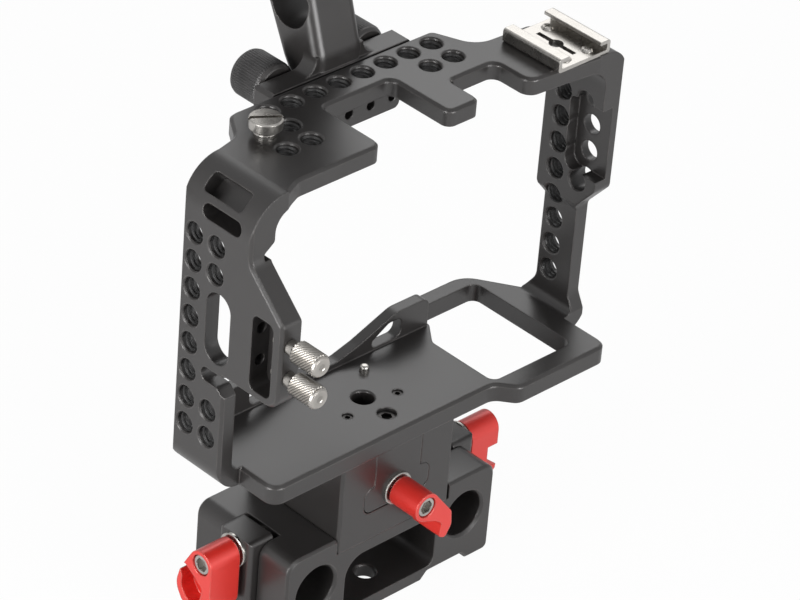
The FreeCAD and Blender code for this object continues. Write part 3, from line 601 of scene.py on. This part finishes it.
def with_arcs(points):
    """Corners turned into a closed line with each corner rounded to its radius."""
    line = []
    for i, (u, v, radius) in enumerate(points):
        if not radius:
            line.append((u, v))
            continue
        corner = Vector((u, v))
        before = Vector(points[i - 1][:2]) - corner
        after = Vector(points[(i + 1) % len(points)][:2]) - corner
        half = before.angle(after) / 2
        reach = radius / math.tan(half)
        inward = (before.normalized() + after.normalized()).normalized()
        middle = corner + inward * (radius / math.sin(half))
        first = corner + before.normalized() * reach - middle
        last = corner + after.normalized() * reach - middle
        sweep = first.angle_signed(last)
        for k in range(ARC_STEPS + 1):
            turn = Matrix.Rotation(-sweep * k / ARC_STEPS, 2)
            line.append(tuple(middle + turn @ first))
    return line


def lever_line(tail, start, end):
    """The lever's outline: its tail, and the hub's arc over the top between two angles."""
    turns = [math.radians(start + (end - start) * k / HUB_STEPS) for k in range(HUB_STEPS + 1)]
    hub = [(HUB_RADIUS * math.cos(turn), HUB_RADIUS * math.sin(turn)) for turn in turns]
    return with_arcs([(*hub[-1], 0)] + tail + [(*hub[0], 0)]) + hub[1:-1]


def prism(shape, line, low, high, place, side):
    """A line drawn across the lever's axis, run along it from low to high."""
    if side:
        across, along = Vector((0, side, 0)), Vector((side, 0, 0))
    else:
        across, along = Vector(RIGHT), Vector(REAR)
    rings = []
    for w in (low, high):
        rings.append([
            (Vector(place) + across * u + Vector((0, 0, v)) + along * w) * MM for u, v in line
        ])
    strip(shape, rings)


def lever(name, place, side, mirror, tail, hub_arc, scoop=None, depth=0):
    """A clamp lever: round hub with a screw well, tail, and a finger scoop in the outer end.

    side is -1 for left, 1 for right and 0 for the lever that faces the rear.
    """
    line = [(mirror * u, v) for u, v in lever_line(tail, *hub_arc)]
    well = [(WELL_RADIUS * math.cos(t), WELL_RADIUS * math.sin(t)) for t in angles(WELL_POINTS)]

    def body(shape):
        prism(shape, line, LIFT, HUB_LENGTH, place, side)

    def cuts(shape):
        prism(shape, well, WELL_FLOOR, HUB_LENGTH + CUT_PAST, place, side)
        if scoop:
            hollow_shade_colour = [(mirror * u, v) for u, v in with_arcs(scoop)]
            prism(shape, hollow_shade_colour, HUB_LENGTH - depth, HUB_LENGTH + CUT_PAST, place, side)

    made = piece("lever_" + name + "_body", body, "clamp_" + name, red)
    cut_away(made, cuts)
    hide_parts("lever_" + name)


def levers():
    x, y, z = SIDE_AXIS
    lever("left", (-x, y, z), -1, -1, SIDE_TAIL, SIDE_HUB_ARC, LEFT_SCOOP, LEFT_SCOOP_DEPTH)
    lever("right", (x, y, z), 1, 1, SIDE_TAIL, SIDE_HUB_ARC, RIGHT_SCOOP, RIGHT_SCOOP_DEPTH)
    lever("centre", CENTRE_AXIS, 0, 1, CENTRE_TAIL, CENTRE_HUB_ARC)


# Studio, in metres and watts

LAMP_TARGET = (0.01, 0.0, 0.1)
LEFT_LAMP_TARGET = (-0.05, 0.0, 0.12)
REAR_LAMP_TARGET = (0.0, 0.0, 0.1)
FLOOR_REACH = 6
FLOOR_IN_GLOSS = 0.45
FLOOR_GLOW = 0.96
WORLD_STRENGTH = 0.34
WORLD_IN_GLOSS = 0.5
WHITE = (1, 1, 1, 1)


def camera():
    """The view of the photograph, as solved from the rows of holes."""
    data = bpy.data.cameras.new("camera")
    data.sensor_width = 36.0
    data.lens = 190.99
    data.clip_start = 0.05
    data.clip_end = 20.0
    right = (0.72267133, -0.68745787, 0.07174839)
    up = (0.33503164, 0.43919222, 0.83358502)
    back = (-0.60456591, -0.57837002, 0.54771177)
    place = (-0.7307, -0.7139, 0.7661)
    rows = [(right[i], up[i], back[i], place[i]) for i in range(3)]
    made = placed("camera", data)
    made.matrix_world = Matrix(rows + [(0, 0, 0, 1)])
    bpy.context.scene.camera = made


def lamp(name, place, target, width, height, power):
    data = bpy.data.lights.new(name, "AREA")
    data.shape = "RECTANGLE"
    data.size = width
    data.size_y = height
    data.energy = power
    aim = (Vector(target) - Vector(place)).to_track_quat("-Z", "Y")
    made = placed(name, data)
    made.matrix_world = Matrix.Translation(place) @ aim.to_matrix().to_4x4()


def seen_ray(finish, in_gloss):
    """1 where the camera or a clear ray sees the background, and a share of that in gloss."""
    camera_ray = finish.add("ShaderNodeLightPath", output="Is Camera Ray")
    glossy_ray = finish.add("ShaderNodeLightPath", output="Is Glossy Ray")
    through_ray = finish.add("ShaderNodeLightPath", output="Is Transmission Ray")
    return finish.clamp(camera_ray + glossy_ray * in_gloss + through_ray)


def floor():
    """A pale floor that keeps the object's shadow."""
    finish = Finish("pale_floor")
    cloud = finish.noise(scale=9.0, detail=3.0)
    tone = finish.blend(cloud, (0.86, 0.86, 0.86, 1), (0.9, 0.9, 0.9, 1))
    matte = finish.add("ShaderNodeBsdfDiffuse", {}, {"Color": tone})
    glow = finish.add("ShaderNodeEmission", {}, {"Color": WHITE, "Strength": 1.0})
    share = seen_ray(finish, FLOOR_IN_GLOSS) * FLOOR_GLOW
    mix = finish.add("ShaderNodeMixShader", {}, (share, matte, glow))
    finish.add("ShaderNodeOutputMaterial", {}, (mix,))
    reach = FLOOR_REACH
    corners = [(-reach, -reach, 0), (reach, -reach, 0), (reach, reach, 0), (-reach, reach, 0)]
    mesh = bpy.data.meshes.new("floor")
    mesh.from_pydata(corners, [], [(0, 1, 2, 3)])
    mesh.materials.append(finish.made)
    made = placed("floor", mesh)


def world():
    """Soft light from all sides, seen as plain white by the camera."""
    room = Finish("studio", bpy.data.worlds)
    light_inputs = {"Color": (0.96, 0.97, 1.0, 1), "Strength": WORLD_STRENGTH}
    light = room.add("ShaderNodeBackground", {}, light_inputs)
    seen = room.add("ShaderNodeBackground", {}, {"Color": WHITE, "Strength": 1.0})
    share = seen_ray(room, WORLD_IN_GLOSS)
    mix = room.add("ShaderNodeMixShader", {}, (share, light, seen))
    room.add("ShaderNodeOutputWorld", {}, (mix,))
    bpy.context.scene.world = room.made


def studio():
    bpy.context.scene.view_settings.view_transform = "Standard"
    camera()
    world()
    floor()
    lamp("top_softbox", (0.95, 0.75, 1.05), LAMP_TARGET, width=0.9, height=0.6, power=3.4)
    lamp("left_softbox", (-0.72, -0.04, 0.2), LEFT_LAMP_TARGET, width=0.35, height=0.6, power=6.2)
    lamp("rear_softbox", (0.05, -0.95, 0.28), REAR_LAMP_TARGET, width=0.6, height=0.4, power=7.0)


dress_solids()
hole_threads()
knurls()
accessory_screw_thread()
inner_walls()
levers()
studio()
